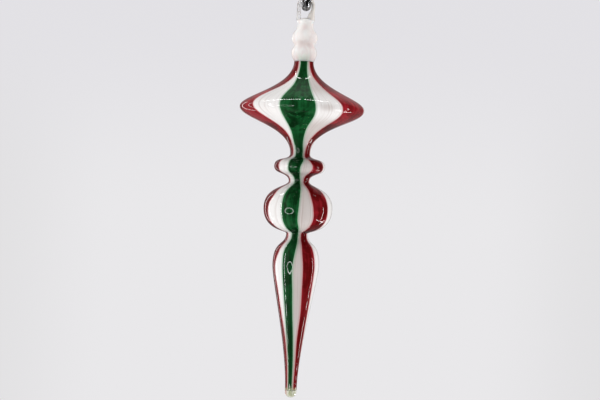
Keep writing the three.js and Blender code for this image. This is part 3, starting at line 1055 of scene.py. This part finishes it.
def add_floor(stage):
    """A thin round floor that gives no light."""
    height, thickness = low("glass_tip", 2) - stage.floor_drop, 2 * MM
    reach = np.linspace(0.01, stage.floor_radius, 40)
    rings = turned(np.column_stack([reach, np.full(40, height)]), 96)
    floor = skinned("floor", np.concatenate([rings, rings[::-1] - [0, 0, thickness]]),
                    [(0, 0, height), (0, 0, height - thickness)])
    floor.data.materials.append(new_material("pale_floor", floor_paper, stage.floor_radius))
    hide_from(floor, "glossy", "diffuse")


# Gloss sees a dark room in front between these two angles, and pale walls past them.
ROOM_LEFT, ROOM_RIGHT = -58, 148


def add_world(scene, colours):
    """A pale studio. The eye sees one backdrop, a little paler low down behind the ornament. Gloss
    sees it only right behind the ornament, with dimmer walls round it and a dark room in front.
    The light on the ornament is strongest from below and weakest from straight in front."""
    world = bpy.data.worlds.new("studio")
    scene.world = world
    world.use_nodes = True
    glaze = Glaze(world.node_tree)
    direction = glaze.node("TexCoord", output="Generated")
    x, y, z = (glaze.part(axis, direction) for axis in range(3))

    spread = glaze.step(abs(x), 0.12, 0.21) * glaze.step(y, 0.9, 0.96)
    lower = glaze.mix(spread, (0.815, 0.807, 0.823), (0.760, 0.753, 0.765))
    backdrop = glaze.mix(glaze.step(z, -0.02, 0.13), lower, colours.backdrop)

    walls = glaze.mix(glaze.step(z, -0.6, 0.2), (0.15, 0.14, 0.14), (0.27, 0.26, 0.26))
    walls = glaze.mix(glaze.step(z, 0.45, 0.85), walls, (0.15, 0.15, 0.15))
    level = 1 - glaze.step(abs(z), 0.05, 0.35)
    walls = glaze.mix(level * glaze.step(y, 0.5, 0.9), walls, (0.10, 0.09, 0.09))
    walls = glaze.mix(glaze.step(y, 0.965, 0.998), walls, backdrop)
    room = glaze.mix(glaze.step(x, 0.2, 0.9), (0.016, 0.016, 0.018), (0.04, 0.04, 0.04))
    past_left, past_right = (x * float(out[0]) + y * float(out[1])
                             for out in (toward(ROOM_LEFT - 90), toward(ROOM_RIGHT + 90)))
    overhead = glaze.math("MAXIMUM", z, 0.0) * 0.17
    past = glaze.math("MAXIMUM", past_left, past_right) - overhead
    mirrored = glaze.mix(glaze.step(past, -0.02, 0.05), room, walls)

    all_round = (0.90, 0.90, 0.90)
    upright = glaze.step(abs(z), 0.2, 0.8)
    front = glaze.mix(upright, (0.26, 0.25, 0.25), (0.95, 0.94, 0.94))
    falling = glaze.mix(glaze.step(y, -0.6, 0.6), front, all_round)
    falling = glaze.mix(glaze.step(abs(x), 0.2, 1.0) * 0.8, falling, all_round)
    falling = glaze.mix(glaze.step(0 - z, 0.1, 0.6), falling, (1.4, 1.38, 1.38))

    by_camera, through_glass, by_gloss = (
        glaze.node("LightPath", output=name)
        for name in ("Is Camera Ray", "Is Transmission Ray", "Is Glossy Ray")
    )
    colour = glaze.mix(by_camera + through_glass, falling, backdrop)
    colour = glaze.mix(by_gloss, colour, mirrored)
    glaze.finish(glaze.node("Background", {"Color": colour}), "World")


def add_camera(scene, stage):
    """The camera straight in front, as wide as the view at the ornament, and rolled."""
    camera = bpy.data.objects.new("camera", bpy.data.cameras.new("camera"))
    scene.collection.objects.link(camera)
    camera.data.sensor_width = 36.0
    camera.data.lens = 36.0 * stage.camera_distance / stage.view_width
    camera.location = (stage.camera_side, -stage.camera_distance, stage.camera_height)
    camera.rotation_euler = (math.pi / 2, -stage.camera_roll, 0)
    scene.camera = camera
    scene.view_settings.view_transform = "Standard"


class FINIAL_OT_stage(bpy.types.Operator):
    """Add the pale floor, the backdrop, the lamps and the camera"""

    bl_idname = "finial.stage"
    bl_label = "Studio"

    def execute(self, context):
        scene = context.scene
        stage = scene.finial_stage
        add_floor(stage)
        add_world(scene, scene.finial_colours)
        centre = np.array([0, 0, stage.camera_height])
        for name, (place, power) in SOFT_LAMPS.items():
            soft_lamp(name, place, centre, power)
        add_ring_lamp(centre)
        glows = {name: glow(name, *light) for name, light in TUBE_GLOWS.items()}
        for name, (start, end, radius, light) in LAMP_TUBES.items():
            lamp_tube(name, centre + start, centre + end, radius, glows[light])
        add_stem_shade(scene.finial_stem)
        add_camera(scene, stage)
        return {"FINISHED"}


class FINIAL_PT_panel(bpy.types.Panel):
    """The ornament's pieces, one button each, and its sizes and colours"""

    bl_idname = "FINIAL_PT_panel"
    bl_label = "Glass Finial"
    bl_space_type = "VIEW_3D"
    bl_region_type = "UI"
    bl_category = "Finial"

    def draw(self, context):
        for operator in OPERATORS:
            self.layout.operator(operator.bl_idname)
        for name in GROUPS:
            group = getattr(context.scene, name)
            box = self.layout.box()
            for field in group.bl_rna.properties.keys():
                if field not in ("rna_type", "name"):
                    box.prop(group, field)


GROUPS = {
    "finial_hook": FinialHookSizes,
    "finial_eye": FinialEyeSizes,
    "finial_stem": FinialStemSizes,
    "finial_body": FinialBodySizes,
    "finial_colours": FinialColours,
    "finial_stage": FinialStage,
}
OPERATORS = [
    FINIAL_OT_hook, FINIAL_OT_eye, FINIAL_OT_stem, FINIAL_OT_bubble, FINIAL_OT_stripes,
    FINIAL_OT_tip, FINIAL_OT_stage,
]


def register():
    for made in [*GROUPS.values(), *OPERATORS, FINIAL_PT_panel]:
        bpy.utils.register_class(made)
    for name, group in GROUPS.items():
        setattr(bpy.types.Scene, name, PointerProperty(type=group))


def unregister():
    for name in GROUPS:
        delattr(bpy.types.Scene, name)
    for made in reversed([*GROUPS.values(), *OPERATORS, FINIAL_PT_panel]):
        bpy.utils.unregister_class(made)


def main():
    register()
    for operator in OPERATORS:
        group, name = operator.bl_idname.split(".")
        getattr(getattr(bpy.ops, group), name)()


if __name__ == "__main__":
    main()
